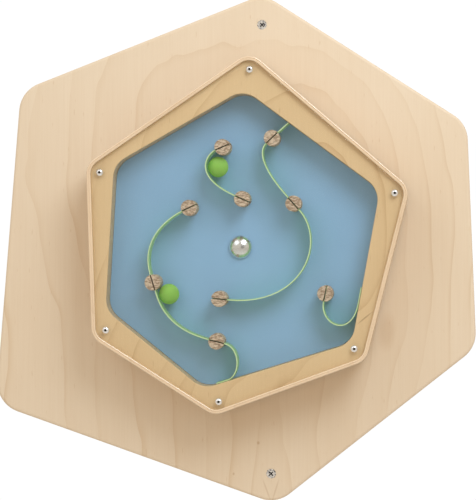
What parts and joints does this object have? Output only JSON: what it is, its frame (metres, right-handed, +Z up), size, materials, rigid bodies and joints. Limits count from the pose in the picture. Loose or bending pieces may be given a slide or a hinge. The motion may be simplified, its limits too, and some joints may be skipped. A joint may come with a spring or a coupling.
{
  "type": "wall marble run",
  "caption": "Six-sided plywood wall board carrying a six-sided drum that turns on a central pivot, with pegs, curved flexible strips and marbles behind a clear pane.",
  "frame": {"origin": "midway between the two wall screws, on the board's back face", "axes": "+Y out of the back into the wall, +Z up the wall, +X to the right as seen from the front"},
  "size_m": [0.5238, 0.112, 0.548],
  "materials": {
    "birch_ply": "clear-lacquered birch plywood",
    "beech": "sawn beech end grain",
    "blue_laminate": "matt laminate",
    "clear_acrylic": "clear cast sheet",
    "green_strip": "translucent flexible strip",
    "green_marble": "matt",
    "polished_steel": "polished",
    "zinc_steel": "zinc plated",
    "bearing_steel": "ground",
    "brass": "turned",
    "glide_plastic": "natural low-friction plastic",
    "cage_plastic": "moulded"
  },
  "bodies": {
    "wall_mount": {"wall_board": "birch_ply", "wall_screws": "zinc_steel", "glide_ring": "glide_plastic", "glide_screws": "zinc_steel", "pivot_bolt": "polished_steel", "spacer_sleeve": "bearing_steel", "bearing_inner": "bearing_steel", "lock_washer": "zinc_steel", "lock_nut": "zinc_steel"},
    "ball_cage": {"bearing_cage": "cage_plastic", "bearing_balls": "bearing_steel"},
    "drum": {"bearing_outer": "bearing_steel", "back_plate": "birch_ply", "floor_panel": "blue_laminate", "rear_ring": "birch_ply", "front_ring": "birch_ply", "ring_screws": "zinc_steel", "window_pane": "clear_acrylic", "pane_screws": "zinc_steel", "screw_inserts": "brass", "peg_1": "beech", "peg_2": "beech", "peg_3": "beech", "peg_4": "beech", "peg_5": "beech", "peg_6": "beech", "peg_7": "beech", "peg_8": "beech", "peg_9": "beech", "strip_a": "green_strip", "strip_b": "green_strip", "strip_c": "green_strip", "strip_d": "green_strip"},
    "marble_1": {"marble_1": "green_marble"},
    "marble_2": {"marble_2": "green_marble"}
  },
  "joints": [
    {"name": "drum_spin", "type": "hinge", "parent": "wall_mount", "child": "drum", "pos_m": [-0.0265, -0.03, 0.0025], "axis": [0, -1, 0], "continuous": true},
    {"name": "cage_spin", "type": "hinge", "parent": "wall_mount", "child": "ball_cage", "pos_m": [-0.0265, -0.037, 0.0025], "axis": [0, -1, 0], "continuous": true},
    {"name": "marble_1_roll", "type": "slide", "parent": "drum", "child": "marble_1", "axis": [0.9962, 0, 0.0872], "range_m": [0, 0.0365]},
    {"name": "marble_2_roll", "type": "slide", "parent": "drum", "child": "marble_2", "axis": [0.5736, 0, 0.8192], "range_m": [0, 0.108]}
  ],
  "couplings": [
    {"joint": "cage_spin", "follows": "drum_spin", "ratio": 0.63}
  ]
}
